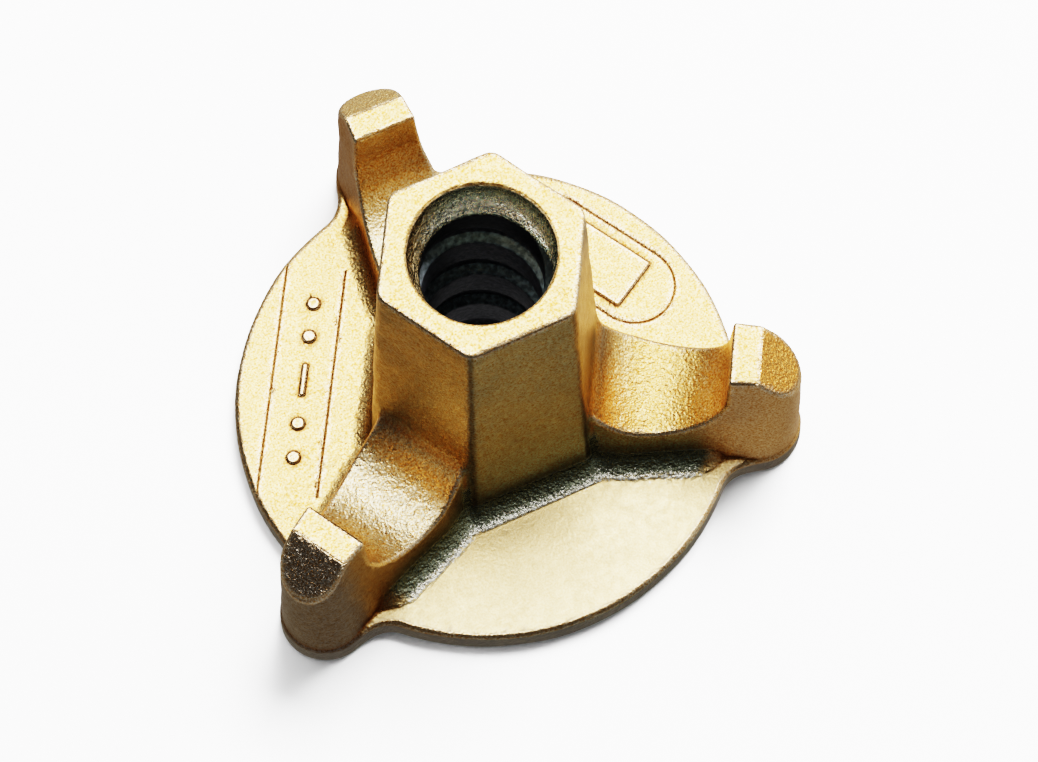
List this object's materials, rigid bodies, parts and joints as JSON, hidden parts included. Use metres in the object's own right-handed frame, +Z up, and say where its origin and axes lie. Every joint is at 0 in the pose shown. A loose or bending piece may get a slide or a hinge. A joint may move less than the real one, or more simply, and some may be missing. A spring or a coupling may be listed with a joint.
{
  "type": "formwork wing nut",
  "caption": "Cast wing nut for a coarse formwork tie rod: a tall hexagonal hub on a round flange, with saddled wings that end in upright fingers.",
  "frame": {"origin": "centre of the bore at the flange's underside", "axes": "+Z up the bore, from the flange's underside to the hub's top; +Y towards one of the wings"},
  "size_m": [0.0774, 0.0787, 0.0525],
  "materials": {
    "plated_casting": "yellow zinc plating over a fine sand-cast grain"
  },
  "bodies": {
    "root": {"wing_nut": "plated_casting"}
  },
  "joints": []
}
